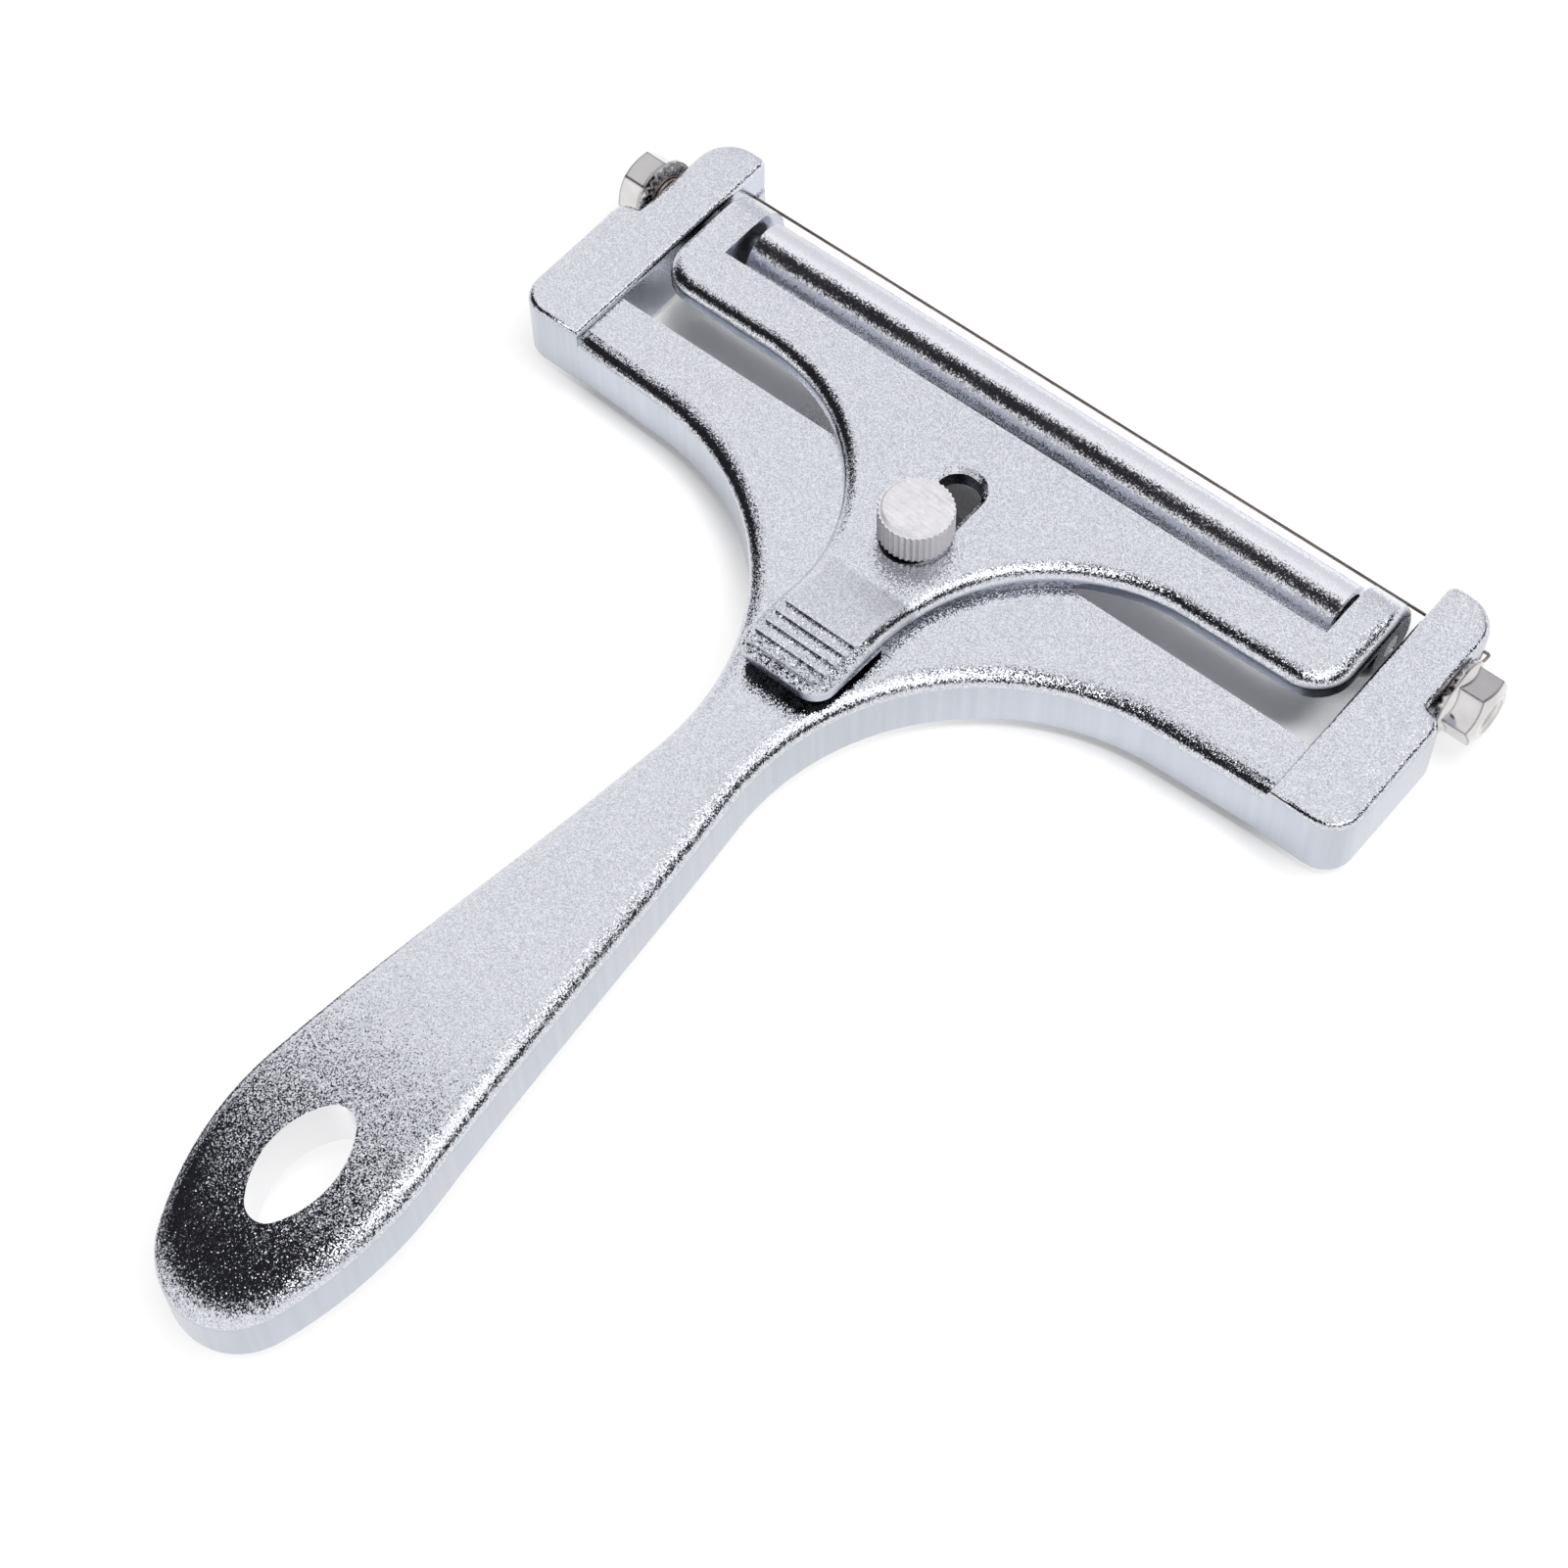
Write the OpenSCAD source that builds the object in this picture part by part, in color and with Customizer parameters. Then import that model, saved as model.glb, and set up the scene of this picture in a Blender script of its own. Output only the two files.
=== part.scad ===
// Handheld wire cheese slicer: a cast handle with a forked head, a sliding
// roller carriage that sets the slice thickness, and a cutting wire.
// X runs along the wire, Y from the handle towards the wire, Z up.
// The origin is on the underside, level with the rear edge of the two end arms.

/* [Handle] */
// Length from the arms' rear edge back to the end of the handle
handle_length = 126.5; // [118:0.5:135]
// Width of the handle at its widest place
handle_width = 25.3; // [23.6:0.1:28]
// Distance from the end of the handle to its widest place
swell_from_end = 23.4; // [21:0.2:28]
// Radius of the rounded end of the handle
end_radius = 9.8; // [8.5:0.1:11]
// Width of the neck behind the crossbar
neck_width = 11.8; // [10:0.2:15]
// Radius of the concave sweep from the neck out to the crossbar
neck_sweep = 34.8; // [31:0.2:38]
// Height of the bow in the middle of the handle
handle_bow = 2.7; // [0:0.1:4]
// Drop of the handle's end below the level of the head
handle_drop = 3.9; // [0:0.1:5]
// Distance of the place where the handle starts to bend from the arms' rear edge
bend_start = 45; // [38:1:60]
// Height of the handle and the crossbar
frame_height = 8.9; // [8.6:0.1:9.2]
// Height of the rounded upper edge of the handle and the crossbar
frame_edge = 1.5; // [1:0.1:2.2]
// How far that rounding reaches in over the handle's and the crossbar's top
frame_reach = 3.3; // [1.5:0.1:3.6]
// Radius of the rounded lower edge of the casting
frame_foot = 1.2; // [0.8:0.1:1.5]
// Length of the hanging hole
hole_length = 15.9; // [14:0.1:19]
// Width of the hanging hole
hole_width = 9; // [7.5:0.1:9.6]
// Radius of the hanging hole's two ends
hole_end = 2.8; // [2:0.1:3]
// Distance from the end of the handle to the middle of the hanging hole
hole_from_end = 20.1; // [19:0.1:26]

/* [Head] */
// Clear width between the two end arms
arm_gap = 108; // [98:1:118]
// Width of an end arm at its rear
arm_width = 10.6; // [9.6:0.1:13]
// Length of an end arm from its rear edge to its tip
arm_length = 38.3; // [37.8:0.1:40]
// Height of the end arms
arm_height = 9.9; // [9.6:0.1:10.8]
// Radius of the rounded upper edge of the end arms
arm_edge = 0.8; // [0.4:0.1:1]
// Radius of an arm's rear outer corner
arm_corner = 4; // [2:0.5:5]
// Radius of an arm's outer tip corner
tip_corner = 5; // [4:0.5:6]
// Depth of the step in an arm's outer side, where the bolt sits
bolt_flat = 2.8; // [2.6:0.1:3.1]
// Distance of that step from the arm's tip
flat_from_tip = 17; // [16.9:0.1:18]
// Distance of the crossbar's front edge from the arms' rear edge
bar_front = 9; // [8.2:0.1:10]
// How far the crossbar's rear edge sweeps back between the arms
bar_sweep = 0.6; // [0.3:0.1:2]

/* [Carriage] */
// Thickness of the carriage plate
plate_thick = 2.8; // [2.4:0.1:3.2]
// Gap between the carriage and each end arm
side_gap = 1.25; // [0.8:0.05:2]
// Width of each prong that holds the roller
prong_width = 5.7; // [4.8:0.1:6.5]
// Depth of the plate between its rear edge and the roller
plate_bar = 7.9; // [7.5:0.1:9.5]
// Radius of the plate's rear outer corners
plate_corner = 5.5; // [4:0.5:7]
// Height of the rounded upper edge of the plate
plate_edge = 1.5; // [0.8:0.1:1.8]
// How far that rounding reaches in over the plate's top
plate_reach = 2.5; // [1:0.1:2.8]
// Radius of the concave sweep from the plate into the thumb tongue
flare_radius = 26; // [23:0.5:28]
// Distance between the thumb screw's head and the tongue's crease
tongue_from_knob = 4.2; // [3.6:0.1:4.6]
// Width of the thumb tongue
tongue_width = 13.8; // [13.4:0.2:16]
// Length of the raised thumb tongue behind its crease
tongue_length = 18; // [17:0.5:20]
// Height that the tongue's ramp gains
tongue_rise = 1.6; // [1:0.1:2.2]
// Number of grip ribs on the tongue
rib_count = 5; // [3:1:5]
// Spacing of the grip ribs
rib_pitch = 1.88; // [1.6:0.02:1.96]
// Length of the grip ribs
rib_length = 11.2; // [9:0.2:11.6]
// Width of the grip ribs
rib_width = 0.9; // [0.6:0.05:1]
// Height of the grip ribs
rib_height = 0.4; // [0.2:0.05:0.5]
// Distance that the carriage slides back from its place in the middle of the slot
slide_back = 8.4; // [6:0.1:8.6]
// Distance that the carriage slides forward from that place
slide_forward = 1.4; // [0.6:0.1:1.6]

/* [Roller] */
// Outside radius of the roller tube
roller_radius = 4.2; // [3.9:0.1:4.5]
// Wall of the roller tube
roller_wall = 1; // [0.8:0.1:1.2]
// Gap between each end of the roller and its prong
roller_end_gap = 1.2; // [0.6:0.1:2]
// Gap between the roller and the plate behind it
roller_back_gap = 2.5; // [1.5:0.1:3]
// Height of the roller's axis
roller_height = 6.5; // [6.3:0.1:6.7]
// Gap between the wire and the roller with the carriage at rest
slice_rest = 3; // [2.6:0.1:4]
// Radius of the roller's axle
axle_radius = 1.5; // [1.2:0.1:1.8]
// Length of each bush inside the roller
bush_length = 6; // [4:0.5:10]
// How far each bush sits inside the roller's end
bush_recess = 2.2; // [1:0.1:3]

/* [Wire and screws] */
// Radius of the cutting wire
wire_radius = 0.22; // [0.18:0.01:0.3]
// Height of the wire
wire_height = 4.9; // [4.4:0.1:5.3]
// Depth of the wire's slot in each arm tip
wire_slot = 3.05; // [2.6:0.05:3.4]
// Height of the wire's slot
wire_slot_height = 1.2; // [1:0.1:1.4]
// Angle that the wire wraps round each tension bolt
wire_wrap = 250; // [180:5:270]
// Thread radius of the tension bolts
bolt_radius = 2.4; // [2.2:0.1:2.5]
// Length of a tension bolt below its flange
bolt_length = 7; // [6:0.5:7.5]
// Distance of the tension bolts from the arms' tips
bolt_from_tip = 11.3; // [11:0.1:11.5]
// Height of the tension bolts
bolt_height = 6.7; // [6.3:0.1:6.8]
// Radius of a tension bolt's flange
flange_radius = 5; // [4.6:0.1:5.1]
// Width across the flats of a tension bolt's head
bolt_flats = 8; // [7:0.1:8]
// Height of a tension bolt's head above the arm side of its flange
bolt_head = 5.2; // [4.6:0.1:6]
// Angle that the tension bolts' hexagons are turned from upright
bolt_turn = 20; // [0:1:59]
// Number of locking teeth under a tension bolt's flange
flange_teeth = 24; // [16:2:30]
// Radius of the thumb screw's knurled head
knob_radius = 4.8; // [4.5:0.1:5.2]
// Height of the thumb screw's head
knob_height = 5.4; // [4:0.1:6]
// Number of knurl teeth round the thumb screw's head
knurl_count = 38; // [30:2:50]
// Thread radius of the thumb screw
screw_radius = 2.5; // [2:0.1:2.6]
// Distance of the thumb screw from the arms' rear edge
screw_from_rear = 2.1; // [1.9:0.1:2.6]

/* [Hidden] */
$fn = 48;

// Clearances and small allowances
run_gap = 0.05;
rest_gap = 0.05;
hook_gap = 0.1;
slot_gap = 0.5;
slot_rim = 0.7;
knob_gap = 0.1;
lap = 4;
through = 30;
nose_step = 0.1;
rear_draft = 0.15;
swell_skip = 3;

// Head
half_gap = arm_gap / 2;
half_out = half_gap + arm_width;
flat_x = half_out - bolt_flat;
flat_start = arm_length - flat_from_tip;
bolt_y = arm_length - bolt_from_tip;
step_outer = 0.8 * bolt_flat;
step_inner = 0.15 * bolt_flat;
tip_inner = 1.2;
arm_foot = 0.6;

// Wire
wire_y = arm_length - wire_slot + wire_radius + rest_gap;
wire_bend = wire_radius + rest_gap;
hook_x = flat_x + wire_bend;
hook_radius = bolt_radius + hook_gap + wire_radius;
lead_length = 1.6;

// Roller and carriage, with the carriage at rest
axis_y = wire_y - wire_radius - slice_rest - roller_radius;
carriage_half = half_gap - side_gap;
cut_half = carriage_half - prong_width;
cut_rear = axis_y - roller_radius - roller_back_gap;
plate_rear = cut_rear - plate_bar;
plate_base = frame_height + rest_gap;
plate_top = plate_base + plate_thick;
nose_radius = plate_top - nose_step - roller_height;
roller_half = cut_half - roller_end_gap;
tongue_start = screw_from_rear - knob_radius - tongue_from_knob;
tongue_end = tongue_start - tongue_length;
tongue_corner = 3;
tongue_edge = 0.9 * plate_edge;
tongue_reach = 0.9 * plate_reach;
first_rib = tongue_end + 1.5 + rib_pitch * (rib_count - 1);
flare_end = plate_rear - flare_radius;

// Tension bolts and thumb screw
flange_x = hook_x + wire_bend;
flange_rim = 0.8;
flange_thick = 1.6;
tooth_side = 0.55;
tooth_length = 1.4;
bolt_chamfer = 0.75;
dish_radius = 2.3;
dish_depth = 0.5;
knurl_depth = 0.25;
knob_chamfer = 0.45;
knob_base = plate_top + knob_gap;
screw_tip = 1.4;
screw_floor = 0.9;

casting_colour = [0.80, 0.82, 0.85];
polished_colour = [0.88, 0.88, 0.91];
turned_colour = [0.86, 0.84, 0.85];
stainless_colour = [0.74, 0.71, 0.69];
wire_colour = [0.45, 0.43, 0.42];
bush_colour = [0.90, 0.90, 0.89];

// Points on an arc, from one angle to another
function arc(centre, radius, from, to, steps) =
    [for (i = [0:steps]) let (a = from + (to - from) * i / steps) centre + radius * [cos(a), sin(a)]];

// Left-hand normal of the line from a to b
function left_normal(a, b) = let (d = (b - a) / norm(b - a)) [-d[1], d[0]];

// An anticlockwise outline drawn in by a distance
function inset(outline, distance) =
    let (n = len(outline))
    [for (i = [0:n - 1])
        let (before = left_normal(outline[(i + n - 1) % n], outline[i]),
             after = left_normal(outline[i], outline[(i + 1) % n]))
        outline[i] + distance * (before + after) / (1 + before * after)];

// Half an outline and its mirror image about the Y axis, as one loop
function mirrored(half) =
    concat(half, [for (i = [len(half) - 1:-1:0]) if (half[i][0] > 0) [-half[i][0], half[i][1]]]);

// Triangles that cover an outline made by mirrored(), row by row across its width
function row_cap(outline) =
    let (n = len(outline), apex = outline[0][0] == 0 ? 1 : 0, rows = (n + apex) / 2)
    [for (i = [0:rows - 2], half = [0:1])
        let (left = i == 0 && apex == 1 ? 0 : n - 1 + apex - i, above = n - 2 + apex - i)
        if (half == 0 || left != i) half == 0 ? [i, i + 1, above] : [i, above, left]];

// Triangles that cover an outline seen whole from its first point
function fan_cap(outline) = [for (i = [1:len(outline) - 2]) [0, i, i + 1]];

// Side faces between stacked rings of points
function ring_faces(rings, count) =
    [for (k = [0:rings - 2], i = [0:count - 1], half = [0, 1])
        let (j = (i + 1) % count, a = k * count + i, b = k * count + j)
        half == 0 ? [a, a + count, b + count] : [a, b + count, b]];

// Height that the handle's bend adds at a distance along it
function bend(y) =
    let (t = max(0, (-bend_start - y) / (handle_length - bend_start)))
    6.75 * handle_bow * t * t * (1 - t) - handle_drop * t * t * t;

// A slab with upright sides and a rounded upper edge that is edge high and reaches in over
// the top, and a round lower edge where foot is given. A slope tilts its base and its top
// about the line y = hinge, so that it climbs to the rear. A bent slab follows the handle.
module rounded_slab(outline, cap, base, top, edge, reach, steps, foot = 0, slope = 0, hinge = 0, bent = false) {
    count = len(outline);
    lower = foot == 0 ? [[base, 0]] : [for (i = [0:steps])
        let (a = 90 - 90 * i / steps) [base + foot * (1 - sin(a)), foot * (1 - cos(a))]];
    upper = [for (i = [0:steps])
        let (a = 90 * i / steps) [top - edge + edge * sin(a), reach * (1 - cos(a))]];
    levels = concat(lower, upper);
    points = [for (level = levels, p = inset(outline, level[1]))
        [p[0], p[1], level[0] + slope * (hinge - p[1]) + (bent ? bend(p[1]) : 0)]];
    last = (len(levels) - 1) * count;
    roof = [for (t = cap) [last + t[2], last + t[1], last + t[0]]];
    polyhedron(points, concat(cap, roof, ring_faces(len(levels), count)), convexity = 8);
}

// A round wire of a given radius swept along a path
module swept_wire(path, radius, sides) {
    last = len(path) - 1;
    tangents = [for (i = [0:last])
        let (d = path[min(i + 1, last)] - path[max(i - 1, 0)]) d / norm(d)];
    sides_dir = [for (i = 0, u = [1, 0, 0]; i <= last;
        i = i + 1, u = i > last ? u : square_to(u, tangents[i])) square_to(u, tangents[i])];
    points = [for (i = [0:last], k = [0:sides - 1])
        let (a = 360 * k / sides, v = cross(tangents[i], sides_dir[i]))
        path[i] + radius * (cos(a) * sides_dir[i] + sin(a) * v)];
    start_face = [for (k = [0:sides - 1]) k];
    end_face = [for (k = [sides - 1:-1:0]) last * sides + k];
    polyhedron(points, concat([start_face, end_face], ring_faces(last + 1, sides)), convexity = 6);
}

// The part of a direction that is square to a tangent, as a unit vector
function square_to(u, tangent) = let (w = u - (u * tangent) * tangent) w / norm(w);

// Right half of the handle and crossbar outline, from the handle's end to the arms.
// The end, the swell, the straight flank and the neck's sweep are tangent to each other.
function frame_half() =
    let (end_c = [0, end_radius - handle_length],
         reach = swell_from_end - end_radius,
         half = handle_width / 2,
         swell_r = (half * half + reach * reach - end_radius * end_radius) / (2 * (half - end_radius)),
         swell_c = [half - swell_r, swell_from_end - handle_length],
         neck_c = [neck_width / 2 + neck_sweep, -bar_sweep - neck_sweep],
         flank = neck_c - swell_c,
         flank_a = atan2(flank[1], flank[0]) - acos((swell_r + neck_sweep) / norm(flank)),
         end_a = atan2(end_c[1] - swell_c[1], end_c[0] - swell_c[0]),
         shoulder = [half_gap, 0] - neck_c,
         rear_a = atan2(shoulder[1], shoulder[0]) + acos(neck_sweep / norm(shoulder)),
         rear_t = neck_c + neck_sweep * [cos(rear_a), sin(rear_a)],
         rear_d = ([half_gap, 0] - rear_t) / norm([half_gap, 0] - rear_t),
         bar_end = [half_gap, 0] + lap * rear_d,
         flank_s = swell_c + swell_r * [cos(flank_a), sin(flank_a)],
         flank_e = neck_c - neck_sweep * [cos(flank_a), sin(flank_a)])
    concat(arc(end_c, end_radius, -90, end_a, 12),
           arc(swell_c, swell_r, end_a + swell_skip, flank_a, 9),
           [for (i = [1:11]) flank_s + (flank_e - flank_s) * i / 12],
           arc(neck_c, neck_sweep, 180 + flank_a, rear_a, 28),
           [bar_end, [bar_end[0], bar_front + lap]]);

// Outline of the right-hand end arm, anticlockwise from its inner rear corner
function arm_outline() =
    concat([[half_gap, 0]],
           arc([half_out - arm_corner, arm_corner], arm_corner, -90, 0, 6),
           arc([half_out - step_outer, flat_start - step_outer], step_outer, 0, 90, 5),
           arc([flat_x + step_inner, flat_start + step_inner], step_inner, 270, 180, 2),
           arc([flat_x - tip_corner, arm_length - tip_corner], tip_corner, 0, 90, 8),
           arc([half_gap + tip_inner, arm_length - tip_inner], tip_inner, 90, 180, 4));

// Four-arc oval of the hanging hole
module hanging_hole() {
    half_l = hole_length / 2;
    half_w = hole_width / 2;
    end_c = half_l - hole_end;
    side_r = (half_w * half_w + end_c * end_c - hole_end * hole_end) / (2 * (half_w - hole_end));
    side_c = side_r - half_w;
    band = 2 * (end_c + hole_end * sin(atan2(end_c, side_c)));
    translate([0, hole_from_end - handle_length, -through / 2])
        linear_extrude(through) {
            intersection() {
                translate([-side_c, 0]) circle(side_r);
                translate([side_c, 0]) circle(side_r);
                square([hole_width, band], center = true);
            }
            for (s = [-1, 1]) translate([0, s * end_c]) circle(hole_end);
        }
}

// Places its children at the tension bolt of one side, with Z out of the arm
module at_bolt(side, x) {
    translate([side * x, bolt_y, bolt_height]) rotate([0, side * 90, 0]) children();
}

module frame() {
    whole = mirrored(frame_half());
    arm = arm_outline();
    color(casting_colour)
        difference() {
            union() {
                difference() {
                    rounded_slab(whole, row_cap(whole), 0, frame_height, frame_edge, frame_reach, 5, frame_foot,
                                 bent = true);
                    translate([-half_out, bar_front, -lap]) cube([2 * half_out, through, through]);
                }
                for (side = [0, 1])
                    mirror([side, 0, 0])
                        rounded_slab(arm, fan_cap(arm), 0, arm_height, arm_edge, arm_edge, 3, arm_foot);
            }
            hanging_hole();
            translate([0, screw_from_rear, screw_floor]) cylinder(r = screw_radius + run_gap, h = through);
            for (side = [-1, 1]) {
                at_bolt(side, flange_x - bolt_length - rest_gap)
                    cylinder(r = bolt_radius + run_gap, h = through);
                translate([side * half_out - half_out / 2, arm_length - wire_slot, wire_height - wire_slot_height / 2])
                    cube([half_out, through, wire_slot_height]);
            }
        }
}

// Right half of the carriage plate's outline, from the tongue to the prongs
function plate_half() =
    concat([[tongue_width / 2, flare_end - 0.5]],
           arc([tongue_width / 2 + flare_radius, flare_end], flare_radius, 180, 90, 18),
           arc([carriage_half - plate_corner, plate_rear + rear_draft + plate_corner], plate_corner, -90, 0, 8),
           [[carriage_half, axis_y + 1]]);

// Half width of the plate on its sweep into the tongue
function flare_x(y) =
    let (rise = max(y - flare_end, 0))
    tongue_width / 2 + flare_radius - sqrt(flare_radius * flare_radius - rise * rise);

// Right half of the thumb tongue's outline, from its rear edge to the plate
function tongue_half() =
    let (half = tongue_width / 2 - rest_gap, front = tongue_start + lap)
    concat(arc([half - tongue_corner, tongue_end + tongue_corner], tongue_corner, -90, 0, 8),
           [for (i = [0:6])
               let (y = flare_end + (front - flare_end) * i / 6) [flare_x(y) - rest_gap, y]]);

// Raised thumb tongue with its grip ribs
module tongue() {
    slope = tongue_rise / tongue_length;
    outline = mirrored(tongue_half());
    rounded_slab(outline, row_cap(outline), plate_base + slope * lap + rest_gap, plate_top, tongue_edge,
                 tongue_reach, 4, 0, slope, tongue_start);
    for (i = [0:rib_count - 1]) {
        y = first_rib - i * rib_pitch;
        translate([0, y, plate_top + slope * (tongue_start - y)]) rotate([-atan(slope), 0, 0])
            translate([0, 0, -rib_width]) linear_extrude(rib_width + rib_height) {
                square([rib_length - rib_width, rib_width], center = true);
                for (s = [-1, 1]) translate([s * (rib_length - rib_width) / 2, 0]) circle(rib_width / 2);
            }
    }
}

// Round nose of one prong, with a rounded outer rim, about the roller's axis
module prong_nose() {
    width = prong_width + 1 - nose_step;
    translate([cut_half - 1, axis_y, roller_height]) rotate([0, 90, 0])
        rotate_extrude() {
            square([nose_radius, width - plate_edge]);
            square([nose_radius - plate_edge, width]);
            translate([nose_radius - plate_edge, width - plate_edge])
                intersection() {
                    circle(plate_edge);
                    square(plate_edge);
                }
        }
}

// Slot for the thumb screw, with a bevelled rim, along the carriage's travel
module screw_slot() {
    half = screw_radius + slot_gap;
    wide = half + slot_rim;
    for (y = [-slide_forward, slide_back]) translate([0, y, 0]) {
        cylinder(r = half, h = through);
        translate([0, 0, plate_top - slot_rim]) cylinder(r1 = half, r2 = wide + 1, h = slot_rim + 1);
    }
    translate([0, slide_back, 0]) rotate([90, 0, 0])
        linear_extrude(slide_back + slide_forward)
            polygon([[-half, 0], [half, 0], [half, plate_top - slot_rim], [wide + 1, plate_top + 1],
                     [-wide - 1, plate_top + 1], [-half, plate_top - slot_rim]]);
}

module carriage() {
    plate = mirrored(plate_half());
    color(casting_colour)
        difference() {
            union() {
                rounded_slab(plate, row_cap(plate), plate_base, plate_top, plate_edge, plate_reach, 5);
                tongue();
                for (side = [0, 1]) mirror([side, 0, 0]) prong_nose();
            }
            translate([-cut_half, cut_rear, -lap]) cube([2 * cut_half, through, through]);
            translate([0, screw_from_rear, 0]) screw_slot();
            translate([0, axis_y, roller_height]) rotate([0, 90, 0])
                cylinder(r = axle_radius, h = arm_gap, center = true);
        }
}

// A cylinder along the roller's axis, with its middle at x
module on_axis(x) {
    translate([x, axis_y, roller_height]) rotate([0, 90, 0]) children();
}

module roller_tube() {
    color(polished_colour)
        on_axis(0) difference() {
            cylinder(r = roller_radius, h = 2 * roller_half, center = true);
            cylinder(r = roller_radius - roller_wall, h = arm_gap, center = true);
        }
}

// Bush inside one end of the roller tube
module roller_bush(side) {
    color(bush_colour)
        on_axis(side * (roller_half - bush_recess - bush_length / 2)) difference() {
            cylinder(r = roller_radius - roller_wall, h = bush_length, center = true);
            cylinder(r = axle_radius + run_gap, h = arm_gap, center = true);
        }
}

module roller_axle() {
    color(stainless_colour)
        on_axis(0) cylinder(r = axle_radius, h = 2 * (carriage_half - nose_step - rest_gap), center = true);
}

// Route of the wire on the right, from its hooked end to the slot's outer mouth
function wire_end() =
    let (lead = [wire_y - wire_bend - lead_length, wire_height],
         bolt = [bolt_y, bolt_height],
         d = lead - bolt,
         touch = atan2(d[1], d[0]) + acos(hook_radius / norm(d)),
         hook = arc(bolt, hook_radius, touch + wire_wrap, touch, 14),
         start = (hook[14] + lead) / 2,
         stop = [wire_y - wire_bend, wire_height],
         curve = [for (t = [0:0.25:0.75])
             (1 - t) * (1 - t) * start + 2 * t * (1 - t) * lead + t * t * stop],
         side_run = [for (p = concat(hook, curve)) [hook_x, p[0], p[1]]],
         corner = [for (p = arc([flat_x, wire_y - wire_bend], wire_bend, 0, 90, 5)) [p[0], p[1], wire_height]])
    concat(side_run, corner);

module cutting_wire() {
    half = wire_end();
    path = concat(half, [for (i = [len(half) - 1:-1:0]) [-half[i][0], half[i][1], half[i][2]]]);
    color(wire_colour) swept_wire(path, wire_radius, 8);
}

// Hexagon bolt with a toothed flange, standing on its flange with the head up
module tension_bolt() {
    hex_r = bolt_flats / 2 / cos(30);
    color(stainless_colour) {
        difference() {
            rotate_extrude()
                polygon([[0, 0], [flange_radius, 0], [flange_radius, flange_rim],
                         [bolt_flats / 2, flange_thick], [0, flange_thick]]);
            for (i = [0:flange_teeth - 1]) rotate(i * 360 / flange_teeth)
                translate([flange_radius, 0, 0]) rotate([45, 0, 0])
                    cube([2 * tooth_length, tooth_side, tooth_side], center = true);
        }
        translate([0, 0, -bolt_length]) cylinder(r = bolt_radius, h = bolt_length + flange_rim);
        difference() {
            intersection() {
                translate([0, 0, flange_rim]) cylinder(r = hex_r, h = bolt_head - flange_rim, $fn = 6);
                rotate_extrude()
                    polygon([[0, 0], [hex_r, 0], [hex_r, bolt_head - bolt_chamfer],
                             [hex_r - 2 * bolt_chamfer, bolt_head], [0, bolt_head]]);
            }
            translate([0, 0, bolt_head - dish_depth])
                cylinder(r1 = dish_radius - dish_depth, r2 = dish_radius + dish_depth, h = 2 * dish_depth);
        }
    }
}

// Straight-knurled outline of the thumb screw's head
function knurl() = [for (i = [0:2 * knurl_count - 1])
    let (a = 180 * i / knurl_count) (knob_radius - (i % 2) * knurl_depth) * [cos(a), sin(a)]];

module thumb_screw() {
    rim = knob_radius - knurl_depth;
    color(turned_colour)
        translate([0, screw_from_rear, 0]) {
            translate([0, 0, knob_base + knob_chamfer])
                linear_extrude(knob_height - 2 * knob_chamfer) polygon(knurl());
            translate([0, 0, knob_base + knob_height - knob_chamfer - rest_gap])
                cylinder(r1 = rim - rest_gap, r2 = rim - knob_chamfer, h = knob_chamfer + rest_gap);
            translate([0, 0, knob_base])
                cylinder(r1 = rim - knob_chamfer, r2 = rim - rest_gap, h = knob_chamfer + rest_gap);
            translate([0, 0, screw_tip]) cylinder(r = screw_radius, h = knob_base + knob_chamfer - screw_tip);
        }
}

frame();
carriage();
roller_tube();
roller_bush(-1);  // roller_bush_left
roller_bush(1);  // roller_bush_right
roller_axle();
cutting_wire();
at_bolt(-1, flange_x) rotate(bolt_turn) tension_bolt();  // tension_bolt_left
at_bolt(1, flange_x) rotate(bolt_turn) tension_bolt();  // tension_bolt_right
thumb_screw();
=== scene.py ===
# Looks of the wire cheese slicer: materials, studio, camera. Units are metres.
import bpy
import math
from mathutils import Matrix, Vector


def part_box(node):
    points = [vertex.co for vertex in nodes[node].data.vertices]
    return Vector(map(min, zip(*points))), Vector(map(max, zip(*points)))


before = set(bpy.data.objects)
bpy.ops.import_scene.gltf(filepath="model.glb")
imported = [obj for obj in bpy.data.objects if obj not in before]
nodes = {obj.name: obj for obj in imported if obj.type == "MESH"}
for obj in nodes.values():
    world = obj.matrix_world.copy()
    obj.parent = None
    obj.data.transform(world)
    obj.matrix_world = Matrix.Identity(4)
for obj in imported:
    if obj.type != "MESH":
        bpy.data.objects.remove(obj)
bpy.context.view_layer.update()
scene = bpy.context.scene
scene.view_settings.view_transform = "Standard"


# Small helpers for node trees

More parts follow.
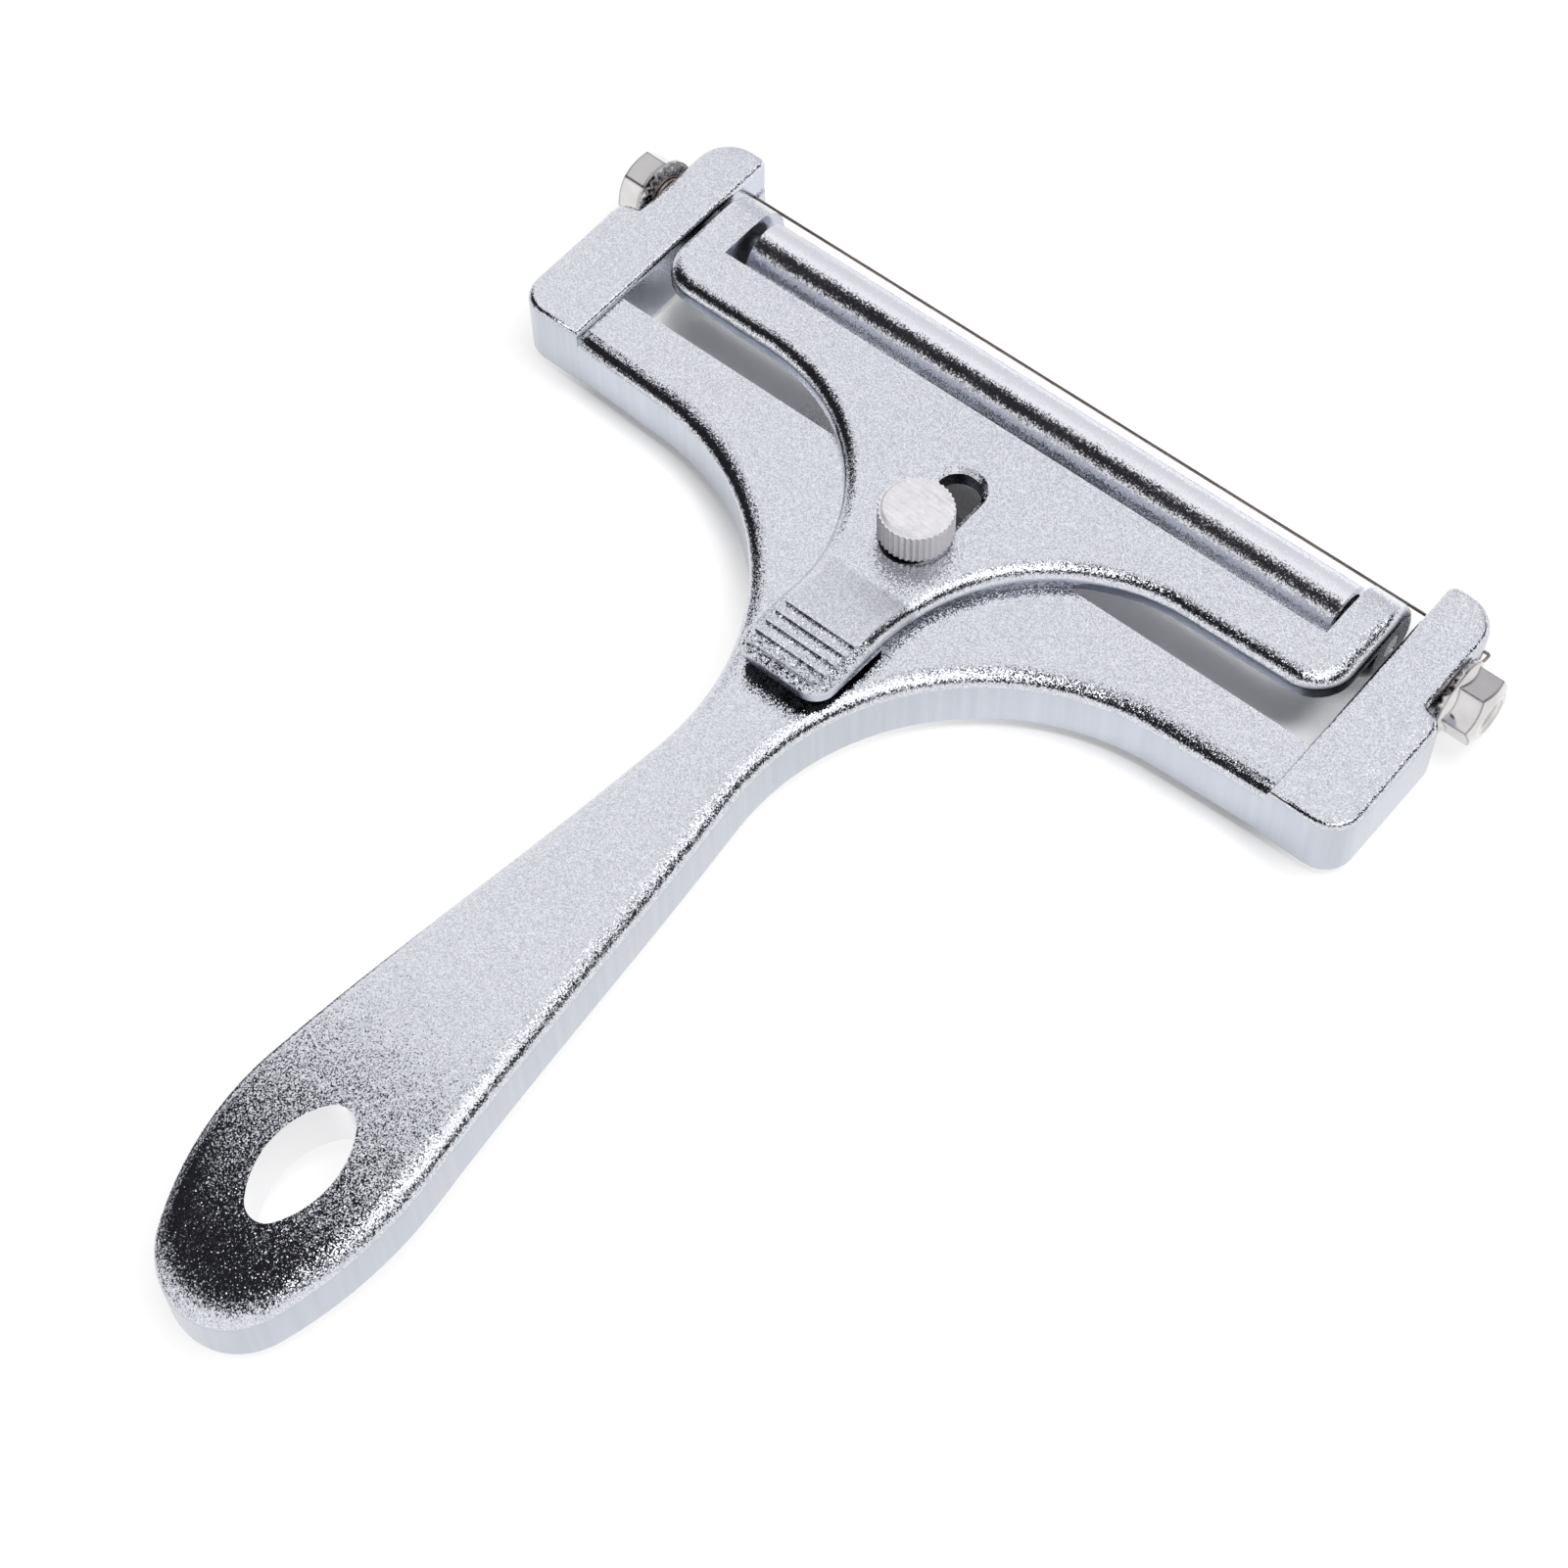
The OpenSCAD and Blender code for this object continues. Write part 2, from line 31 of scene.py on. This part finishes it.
class Tree:
    """A node tree whose helpers add a node and give back its output."""

    def __init__(self, owner, output, coords):
        owner.use_nodes = True
        self.nodes = owner.node_tree.nodes
        self.links = owner.node_tree.links
        self.nodes.clear()
        self.surface = self.add(output).inputs["Surface"]
        self.coords = self.add("ShaderNodeTexCoord").outputs[coords]

    def add(self, kind, **settings):
        node = self.nodes.new(kind)
        for key, value in settings.items():
            setattr(node, key, value)
        return node

    def feed(self, socket, value):
        """Link a node's output to a socket, or set the socket to a fixed value."""
        if isinstance(value, bpy.types.NodeSocket):
            self.links.new(value, socket)
        elif socket.type == "RGBA":
            socket.default_value = (*value, 1.0)
        else:
            socket.default_value = value

    def math(self, operation, a, b=0.0, clamp=False):
        node = self.add("ShaderNodeMath", operation=operation, use_clamp=clamp)
        self.feed(node.inputs[0], a)
        self.feed(node.inputs[1], b)
        return node.outputs["Value"]

    def product(self, first, *others):
        for other in others:
            first = self.math("MULTIPLY", first, other)
        return first

    def largest(self, first, *others):
        for other in others:
            first = self.math("MAXIMUM", first, other)
        return first

    def inverse(self, value):
        return self.math("SUBTRACT", 1.0, value)

    def vectors(self, operation, a, b=(0.0, 0.0, 0.0)):
        """The outputs of a sum with vectors."""
        node = self.add("ShaderNodeVectorMath", operation=operation)
        self.feed(node.inputs[0], a)
        self.feed(node.inputs[1], b)
        return node.outputs

    def split(self, vector):
        """The three numbers of a vector."""
        node = self.add("ShaderNodeSeparateXYZ")
        self.feed(node.inputs["Vector"], vector)
        return node.outputs["X"], node.outputs["Y"], node.outputs["Z"]

    def span(self, value, low, high, to_low=0.0, to_high=1.0, kind="LINEAR"):
        """A range of values carried over to another range."""
        node = self.add("ShaderNodeMapRange", interpolation_type=kind)
        self.feed(node.inputs["Value"], value)
        for key, number in (("From Min", low), ("From Max", high), ("To Min", to_low), ("To Max", to_high)):
            node.inputs[key].default_value = number
        return node.outputs["Result"]

    def fade(self, value, low, high, to_low=0.0, to_high=1.0):
        """As span, with soft ends."""
        return self.span(value, low, high, to_low, to_high, "SMOOTHSTEP")

    def mix(self, factor, a, b):
        """A mix of two colours, each a tuple or another node's output."""
        node = self.add("ShaderNodeMix", data_type="RGBA")
        self.feed(node.inputs[0], factor)
        self.feed(node.inputs[6], a)
        self.feed(node.inputs[7], b)
        return node.outputs[2]


class Surface(Tree):
    """A material with one Principled shader."""

    def __init__(self, name, metallic=1.0):
        self.material = bpy.data.materials.new(name)
        super().__init__(self.material, "ShaderNodeOutputMaterial", "Object")
        self.shader = self.add("ShaderNodeBsdfPrincipled")
        self.feed(self.shader.inputs["Metallic"], metallic)
        self.feed(self.surface, self.shader.outputs["BSDF"])

    def connect(self, **sockets):
        """Feed the shader's sockets and give back the material."""
        for name, source in sockets.items():
            self.feed(self.shader.inputs[name.replace("_", " ")], source)
        return self.material

    def noise(self, scale, detail=2.0, rough=0.5):
        """Noise at a scale per metre, or at one scale for each axis."""
        node = self.add("ShaderNodeTexNoise")
        vector = self.coords
        if isinstance(scale, tuple):
            mapping = self.add("ShaderNodeMapping")
            mapping.inputs["Scale"].default_value = scale
            self.feed(mapping.inputs["Vector"], vector)
            vector, scale = mapping.outputs["Vector"], 1.0
        self.feed(node.inputs["Vector"], vector)
        for key, number in (("Scale", scale), ("Detail", detail), ("Roughness", rough)):
            node.inputs[key].default_value = number
        return node.outputs["Fac"]

    def spread(self, noise, low=0.0, high=1.0):
        """The usual range of a noise carried over to another range."""
        return self.span(noise, 0.3, 0.7, low, high)

    def cells(self, scale):
        node = self.add("ShaderNodeTexVoronoi", feature="F1")
        node.inputs["Scale"].default_value = scale
        self.feed(node.inputs["Vector"], self.coords)
        return node.outputs

    def bump(self, height, distance, strength, normal=None):
        node = self.add("ShaderNodeBump")
        node.inputs["Distance"].default_value = distance
        self.feed(node.inputs["Strength"], strength)
        self.feed(node.inputs["Height"], height)
        if normal is not None:
            self.feed(node.inputs["Normal"], normal)
        return node.outputs["Normal"]

    def facets(self, scale, amount, normal):
        """A grain of small flat facets, each tilted its own way. Gives normal and tone."""
        color = self.cells(scale)["Color"]
        centred = self.vectors("SUBTRACT", color, (0.5, 0.5, 0.5))["Vector"]
        tilt = self.add("ShaderNodeVectorMath", operation="SCALE")
        self.feed(tilt.inputs[0], centred)
        self.feed(tilt.inputs["Scale"], amount)
        tilted = self.vectors("ADD", normal, tilt.outputs["Vector"])["Vector"]
        tone, _, _ = self.split(color)
        return self.vectors("NORMALIZE", tilted)["Vector"], tone

    def normal(self):
        return self.add("ShaderNodeNewGeometry").outputs["Normal"]

    def upward(self, low, high):
        """0 on upright walls, 1 on faces that look up or down."""
        _, _, z = self.split(self.normal())
        return self.fade(self.math("ABSOLUTE", z), low, high)

    def zone(self, half_width, rear, front, soft):
        """1 inside a box on plan, 0 outside."""
        x, y, _ = self.split(self.coords)
        across = self.fade(self.math("ABSOLUTE", x), half_width - soft, half_width + soft, 1.0, 0.0)
        ahead = self.fade(y, rear - soft, rear + soft)
        behind = self.fade(y, front - soft, front + soft, 1.0, 0.0)
        return self.product(across, ahead, behind)


# Plating of the two castings

# Places on plan that look different, several by painted shade or painted light: half width, rear, front, softness
# of the border
BELOW_SLOT = (0.0045, -0.0110, 0.0095, 0.0004)
HANGING_HOLE = (0.0066, -0.1160, -0.0965, 0.0010)
HANDLE_END = (0.0300, -0.1400, -0.0970, 0.0120)
SLOT = (0.0034, -0.0110, 0.0135, 0.0004)
TONGUE = (0.0095, -0.0300, -0.0069, 0.0004)
TONGUE_RAMP = (0.0075, -0.0150, -0.0069, 0.0004)
TONGUE_RIBS = (0.0085, -0.0300, -0.0150, 0.0020)
TONGUE_TIP = (0.0085, -0.0300, -0.0224, 0.0010)

# Colours of the plating, each from dark to light
TOP_COLORS = (0.52, 0.53, 0.575), (0.85, 0.86, 0.91)
# Painted shade: the walls get darker, bluer colours than the tops of the same plating
SHADED_WALL_COLORS = (0.53, 0.555, 0.615), (0.58, 0.605, 0.665)
# Painted light for the wall of the hanging hole, then the near black of painted shade
PAINTED_LIGHT_WALL = (0.88, 0.88, 0.89)
SHADOW = (0.02, 0.02, 0.022)

# Scales per metre and the tilt of the facets
FACET_SCALE = 7000.0
COARSE_SCALE = 3000.0
PEBBLE_SCALE = 4400.0
WAVE_SCALE = 85.0
STREAK_SCALE = (900.0, 900.0, 35.0)
FACET_TILT = 0.22


class Casting(Surface):
    """Bright plated casting: pebbled grain on its faces and edges, drawn streaks on its walls, and painted shade
    that makes the walls darker and bluer than the tops.
    """

    def __init__(self, name):
        super().__init__(name)
        self.face = self.upward(0.12, 0.5)
        self.wall = self.inverse(self.face)
        self.streaks = self.noise(STREAK_SCALE)
        wave = self.noise(WAVE_SCALE)
        self.rough = self.math("ADD", self.spread(wave, 0.07, 0.10), self.product(self.wall, 0.12))
        wavy = self.bump(wave, 0.00006, 0.12)
        lined = self.bump(self.streaks, 0.000008, 0.35, wavy)
        self.pebbled = self.bump(self.noise(PEBBLE_SCALE, 1.0), 0.000015, self.face, lined)

    def plate(self, tilt, dark, painted_light=None):
        """Finish with facets and tones, with painted shade where the places are dark and painted light where they
        have pale walls.
        """
        normal, tone = self.facets(FACET_SCALE, self.product(self.face, tilt), self.pebbled)
        side = self.mix(self.spread(self.streaks), *SHADED_WALL_COLORS)
        if painted_light is not None:
            side = self.mix(painted_light, side, PAINTED_LIGHT_WALL)
        color = self.mix(self.face, side, self.mix(tone, *TOP_COLORS))
        return self.connect(Base_Color=self.mix(dark, color, SHADOW), Roughness=self.rough, Normal=normal)


def frame_casting(name):
    """The frame's plating: painted shade below the slot, painted light that makes the hanging hole's wall pale,
    coarser at the handle's end.
    """
    t = Casting(name)
    tilt = t.math("ADD", FACET_TILT, t.product(t.zone(*HANDLE_END), 0.12))
    # Painted shade on the frame's top below the slot, painted light on the wall of the hanging hole
    return t.plate(tilt, dark=t.product(t.zone(*BELOW_SLOT), 0.96, t.face), painted_light=t.zone(*HANGING_HOLE))


def carriage_casting(name):
    """The carriage's plating: smoother on the tongue's ramp, coarser at its end, with painted shade on the ramp
    and in its recesses.
    """
    t = Casting(name)
    x, y, _ = t.split(t.coords)
    _, _, facing = t.split(t.normal())
    ramp, ribs, tip = t.zone(*TONGUE_RAMP), t.zone(*TONGUE_RIBS), t.zone(*TONGUE_TIP)
    smoother = t.math("SUBTRACT", FACET_TILT, t.product(ramp, 0.13))
    tilt = t.math("ADD", smoother, t.product(ribs, 0.24))
    coarse = t.math("ADD", t.product(ribs, 0.25), t.product(tip, 0.70))
    t.pebbled, _ = t.facets(COARSE_SCALE, t.product(t.face, coarse), t.pebbled)

    # Painted shade: the ramp darkens to the right and to the front
    to_right = t.fade(x, -0.004, 0.006, 0.05, 0.30)
    to_front = t.fade(y, -0.0130, -0.0072, 0.15, 1.0)
    ramp_shade = t.product(ramp, to_right, to_front)

    # Painted shade: the sides next to the arms, the underside of the tongue and the slot's wall are painted dark
    steep = t.inverse(t.upward(0.35, 0.8))
    beside_arms = t.product(steep, t.fade(t.math("ABSOLUTE", x), 0.0460, 0.0515, 0.0, 0.96))
    under_tongue = t.product(t.zone(*TONGUE), t.fade(facing, -0.5, -0.1, 0.96, 0.0))
    slot_wall = t.product(t.zone(*SLOT), t.wall, 0.85)
    return t.plate(tilt, dark=t.largest(ramp_shade, beside_arms, under_tongue, slot_wall))


# Materials of the other pieces

def polished(name):
    """Polished tube with fine lengthwise lines and a few specks."""
    t = Surface(name)
    lines = t.noise((220.0, 3200.0, 3200.0), 3.0, 0.6)
    spot = t.fade(t.cells(900.0)["Distance"], 0.05, 0.16, 1.0, 0.0)
    haze = t.noise(160.0)
    color = t.mix(haze, (0.81, 0.81, 0.86), (0.88, 0.88, 0.92))
    fine = t.bump(lines, 0.000010, 0.5)
    specked = t.bump(spot, 0.000020, 0.6, fine)
    normal, _ = t.facets(6000.0, 0.21, specked)
    return t.connect(Base_Color=color, Specular_Tint=(0.70, 0.70, 0.74),
                     Roughness=t.spread(haze, 0.12, 0.18), Normal=normal)


def turned(name, centre):
    """Turned head: fine rings on the end face, light scratches, a paler knurled side."""
    t = Surface(name)
    ring_pitch = 0.00028
    x, y, _ = t.split(t.vectors("SUBTRACT", t.coords, (centre.x, centre.y, 0.0))["Vector"])
    radius = t.math("SQRT", t.math("ADD", t.product(x, x), t.product(y, y)))
    rings = t.math("SINE", t.product(radius, 2 * math.pi / ring_pitch))
    scratch = t.noise((400.0, 2600.0, 900.0), 3.0, 0.6)
    haze = t.noise(900.0, 3.0, 0.6)
    face = t.upward(0.3, 0.7)
    worn = t.math("ADD", t.product(haze, 0.5), t.product(scratch, 0.5))
    top = t.mix(t.span(worn, 0.35, 0.65), (0.57, 0.555, 0.58), (0.80, 0.785, 0.81))
    ringed = t.bump(rings, 0.000004, 0.6)
    return t.connect(Base_Color=t.mix(face, (0.80, 0.79, 0.81), top), Metallic=t.span(face, 0.0, 1.0, 0.35, 0.5),
                     Roughness=t.spread(haze, 0.26, 0.40), Normal=t.bump(scratch, 0.00003, 0.7, ringed))


def stainless(name, dark, light, low, high, edge=0.0):
    """Plain stainless steel, drawn grain. An edge radius gives soft edges, with painted shade that darkens the
    edges and greys the upper flats.
    """
    t = Surface(name)
    grain = t.noise((500.0, 2200.0, 2200.0), 3.0, 0.6)
    color = t.mix(t.span(t.noise(300.0), 0.25, 0.75), dark, light)
    eased = None
    if edge:
        bevel = t.add("ShaderNodeBevel", samples=8)
        t.feed(bevel.inputs["Radius"], edge)
        eased = bevel.outputs["Normal"]
        normal = t.normal()
        _, _, facing = t.split(normal)
        bend = t.vectors("DOT_PRODUCT", normal, eased)["Value"]
        # Painted shade: upward flats turn greyer and the eased edges nearly black
        color = t.mix(t.fade(facing, 0.55, 0.95, 0.0, 0.65), color, (0.44, 0.43, 0.43))
        color = t.mix(t.span(bend, 0.90, 0.99, 0.75, 0.0), color, (0.08, 0.08, 0.08))
    return t.connect(Base_Color=color, Roughness=t.spread(grain, low, high),
                     Normal=t.bump(grain, 0.000012, 0.4, eased))


def moulded(name):
    """Pale moulded plastic."""
    t = Surface(name, metallic=0.0)
    grain = t.noise(1400.0)
    color = t.mix(grain, (0.70, 0.70, 0.69), (0.80, 0.80, 0.79))
    return t.connect(Base_Color=color, Roughness=t.spread(grain, 0.42, 0.55), Normal=t.bump(grain, 0.00002, 0.4))


# Shading of the carried-over solids: smooth across rounded edges, crisp at corners

def smooth_group(name, angle):
    """A modifier's node group that shades smoothly across edges that bend less than an angle."""
    group = bpy.data.node_groups.new(name, "GeometryNodeTree")
    group.interface.new_socket("Geometry", in_out="INPUT", socket_type="NodeSocketGeometry")
    group.interface.new_socket("Geometry", in_out="OUTPUT", socket_type="NodeSocketGeometry")
    add, link = group.nodes.new, group.links.new
    start, end = add("NodeGroupInput"), add("NodeGroupOutput")
    bare = add("GeometryNodeRemoveAttribute")
    bare.inputs["Name"].default_value = "custom_normal"
    weld = add("GeometryNodeMergeByDistance")
    weld.inputs["Distance"].default_value = 1e-6
    smooth = add("GeometryNodeSetShadeSmooth")
    smooth.inputs["Shade Smooth"].default_value = True
    crisp = add("GeometryNodeSetShadeSmooth")
    crisp.domain = "EDGE"
    crisp.inputs["Shade Smooth"].default_value = False
    bend = add("GeometryNodeInputMeshEdgeAngle")
    compare = add("FunctionNodeCompare")
    compare.operation = "GREATER_THAN"
    compare.inputs["B"].default_value = angle
    link(start.outputs[0], bare.inputs["Geometry"])
    link(bare.outputs["Geometry"], weld.inputs["Geometry"])
    link(weld.outputs["Geometry"], smooth.inputs["Geometry"])
    link(smooth.outputs["Geometry"], crisp.inputs["Geometry"])
    link(bend.outputs["Unsigned Angle"], compare.inputs["A"])
    link(compare.outputs["Result"], crisp.inputs["Selection"])
    link(crisp.outputs["Geometry"], end.inputs[0])
    return group


def dress(name, material, group):
    """Give a piece its material and its shading."""
    node = nodes[name]
    node.data.materials.clear()
    node.data.materials.append(material)
    node.modifiers.new("smooth", "NODES").node_group = group
    weighted = node.modifiers.new("weighted", "WEIGHTED_NORMAL")
    weighted.mode = "FACE_AREA"
    weighted.weight = 50
    weighted.keep_sharp = True


knob_low, knob_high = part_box("thumb_screw")
knob_centre = (knob_low + knob_high) / 2
soft_edges = smooth_group("smooth_soft", math.radians(35))
hard_edges = smooth_group("smooth_hard", math.radians(20))

dress("frame", frame_casting("frame_plating"), soft_edges)
dress("carriage", carriage_casting("carriage_plating"), soft_edges)
dress("roller_tube", polished("roller_polish"), soft_edges)
bush = moulded("bush_plastic")
dress("roller_bush_left", bush, soft_edges)
dress("roller_bush_right", bush, soft_edges)
dress("roller_axle", stainless("axle_steel", (0.58, 0.57, 0.57), (0.70, 0.69, 0.68), 0.18, 0.28), soft_edges)
dress("cutting_wire", stainless("wire_steel", (0.26, 0.22, 0.20), (0.42, 0.37, 0.34), 0.28, 0.40), soft_edges)
bolts = stainless("bolt_steel", (0.62, 0.60, 0.595), (0.80, 0.78, 0.775), 0.05, 0.10, edge=0.0006)
dress("tension_bolt_left", bolts, hard_edges)
dress("tension_bolt_right", bolts, hard_edges)
dress("thumb_screw", turned("screw_turned", knob_centre), hard_edges)


# Floor that touches the handle's end and the tips of the arms

def floor_material():
    """White where it is seen outside the part, matte with the part's shadow elsewhere, with a painted shadow below
    the slot, a painted dark patch seen in reflections, and painted glow that lifts the shadow away from the head.
    """
    material = bpy.data.materials.new("floor_pale")
    t = Tree(material, "ShaderNodeOutputMaterial", "Object")
    rays = t.add("ShaderNodeLightPath").outputs
    x, y, _ = t.split(t.coords)
    seen = t.largest(rays["Is Camera Ray"], rays["Is Glossy Ray"], rays["Is Transmission Ray"])

    # Painted reflection: a dark patch on the floor to the left of the handle's end, seen only by glossy rays, so
    # that the handle's end mirrors dark there
    painted_dark_reflection = t.product(t.fade(x, -0.020, -0.034), t.fade(y, -0.055, -0.075), rays["Is Glossy Ray"])

    # The matte share is pale, with a painted shadow below the carriage's slot
    plan = t.vectors("MULTIPLY", t.coords, (1.0, 1.0, 0.0))["Vector"]
    reach = t.vectors("DISTANCE", plan, (-0.004, 0.015, 0.0))["Value"]
    ground = t.mix(t.fade(reach, 0.007, 0.013), (0.18, 0.18, 0.20), (0.92, 0.92, 0.93))
    matte = t.add("ShaderNodeBsdfDiffuse")
    t.feed(matte.inputs["Color"], t.mix(painted_dark_reflection, ground, (0.03, 0.03, 0.035)))

    # Painted light: the glowing share grows behind the head and beside its arms, lifting the part's shadow there
    behind = t.fade(y, 0.008, -0.022, 0.05, 0.86)
    beside = t.fade(t.math("ABSOLUTE", x), 0.047, 0.066, 0.05, 0.82)
    share = t.math("SUBTRACT", t.largest(behind, beside), painted_dark_reflection, clamp=True)
    glow = t.add("ShaderNodeEmission")
    t.feed(glow.inputs["Color"], (1.0, 1.0, 1.0))
    both = t.add("ShaderNodeMixShader")
    for socket, value in zip(both.inputs, (t.product(seen, share), matte.outputs[0], glow.outputs[0])):
        t.feed(socket, value)
    t.feed(t.surface, both.outputs[0])
    return material


FLOOR_HALF = 2.5
HEEL_INSET, HEEL_GAP = 0.0012, 0.00005

frame_low, frame_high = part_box("frame")
heel = Vector((0.0, frame_low.y + HEEL_INSET, frame_low.z - HEEL_GAP))
toe = Vector((0.0, frame_high.y, 0.0))
floor_slope = (toe.z - heel.z) / (toe.y - heel.y)
floor_corners = [(-FLOOR_HALF, -FLOOR_HALF), (FLOOR_HALF, -FLOOR_HALF), (FLOOR_HALF, FLOOR_HALF),
                 (-FLOOR_HALF, FLOOR_HALF)]
floor_mesh = bpy.data.meshes.new("floor")
floor_mesh.from_pydata([(x, y, heel.z + floor_slope * (y - heel.y)) for x, y in floor_corners], [], [(0, 1, 2, 3)])
floor = bpy.data.objects.new("floor", floor_mesh)
scene.collection.objects.link(floor)
floor.data.materials.append(floor_material())


# World: white walls, a dark ceiling and a dark patch at the left, a lit panel at the back left, two lamps above

WALLS = (1.0, 1.0, 1.02)
DARK = (0.02, 0.02, 0.024)
LEFT_PATCH = ((-0.82, -0.28, 0.50), 20, 32)
FRONT_RIGHT = ((0.50, -0.85, 0.30), 38, 60)
CEILING = (0.45, 0.68)
CEILING_FRONT_RIGHT = (0.68, 0.84)
DIFFUSE_STRENGTH = 0.45

# Areas that lie over the ceiling in turn: direction, inner and outer angle in degrees, colour
BACK_PANEL = ((-0.42, 0.55, 0.72), 23, 35, WALLS)
PANEL_MIDDLE = ((-0.40, 0.66, 0.63), 2, 15, (0.86, 0.86, 0.88))
REAR_WALL = ((-0.30, 0.93, 0.20), 18, 38, (0.80, 0.80, 0.83))
LAMP_MIDDLE = ((0.19, -0.02, 0.98), 12, 19, (1.8, 1.8, 1.8))
LAMP_BACK = ((0.22, 0.30, 0.93), 11, 18, (1.5, 1.5, 1.5))


def studio_world():
    world = bpy.data.worlds.new("studio")
    scene.world = world
    t = Tree(world, "ShaderNodeOutputWorld", "Generated")
    _, _, height = t.split(t.coords)

    def toward(direction, near, far):
        """1 within an angle of a direction, 0 beyond a wider one."""
        dot = t.vectors("DOT_PRODUCT", t.coords, Vector(direction).normalized())["Value"]
        return t.fade(dot, math.cos(math.radians(far)), math.cos(math.radians(near)))

    ceiling = t.add("ShaderNodeMix", data_type="FLOAT")
    t.feed(ceiling.inputs[0], toward(*FRONT_RIGHT))
    t.feed(ceiling.inputs[2], t.fade(height, *CEILING))
    t.feed(ceiling.inputs[3], t.fade(height, *CEILING_FRONT_RIGHT))
    color = t.mix(toward(*LEFT_PATCH), WALLS, DARK)
    color = t.mix(ceiling.outputs[0], color, DARK)
    for direction, near, far, tone in (BACK_PANEL, PANEL_MIDDLE, REAR_WALL, LAMP_MIDDLE, LAMP_BACK):
        color = t.mix(toward(direction, near, far), color, tone)

    diffuse = t.add("ShaderNodeLightPath").outputs["Is Diffuse Ray"]
    back = t.add("ShaderNodeBackground")
    t.feed(back.inputs["Color"], color)
    t.feed(back.inputs["Strength"], t.span(diffuse, 0.0, 1.0, 1.0, DIFFUSE_STRENGTH))
    t.feed(t.surface, back.outputs[0])


studio_world()


# One large lamp from above. It lights matte faces, and the metal doesn't mirror it.

def softbox(name, place, aim, width, power):
    data = bpy.data.lights.new(name, "AREA")
    data.shape = "RECTANGLE"
    data.size = data.size_y = width
    data.energy = power
    light = bpy.data.objects.new(name, data)
    scene.collection.objects.link(light)
    light.visible_glossy = False
    light.location = place
    light.rotation_euler = (Vector(aim) - Vector(place)).to_track_quat("-Z", "Y").to_euler()


softbox("key_high", (0.65, 0.28, 2.45), (0.0, -0.03, 0.0), 1.2, 72.0)


# Camera at the photograph's angle

def photo_camera():
    image, focal, px, py = 1601.0, 3370.73, 704.28, 824.82
    sensor = 36.0
    azimuth, elevation, roll = map(math.radians, (44.42, 58.79, -4.32))
    centre, distance = Vector((-0.00074, -0.0401, 0.0)), 0.39798
    back = Vector((math.sin(azimuth) * math.cos(elevation), -math.cos(azimuth) * math.cos(elevation),
                   math.sin(elevation)))
    right = Vector((math.cos(azimuth), math.sin(azimuth), 0.0))
    up = back.cross(right)
    side = math.cos(roll) * right + math.sin(roll) * up
    top = math.cos(roll) * up - math.sin(roll) * right
    data = bpy.data.cameras.new("photo_camera")
    data.sensor_width = sensor
    data.lens = focal / image * sensor
    data.shift_x = (image / 2 - px) / image
    data.shift_y = (py - image / 2) / image
    data.clip_start = 0.01
    data.clip_end = 20.0
    camera = bpy.data.objects.new("photo_camera", data)
    scene.collection.objects.link(camera)
    turn = Matrix((side, top, back)).transposed().to_4x4()
    camera.matrix_world = Matrix.Translation(centre + back * distance) @ turn
    scene.camera = camera


photo_camera()
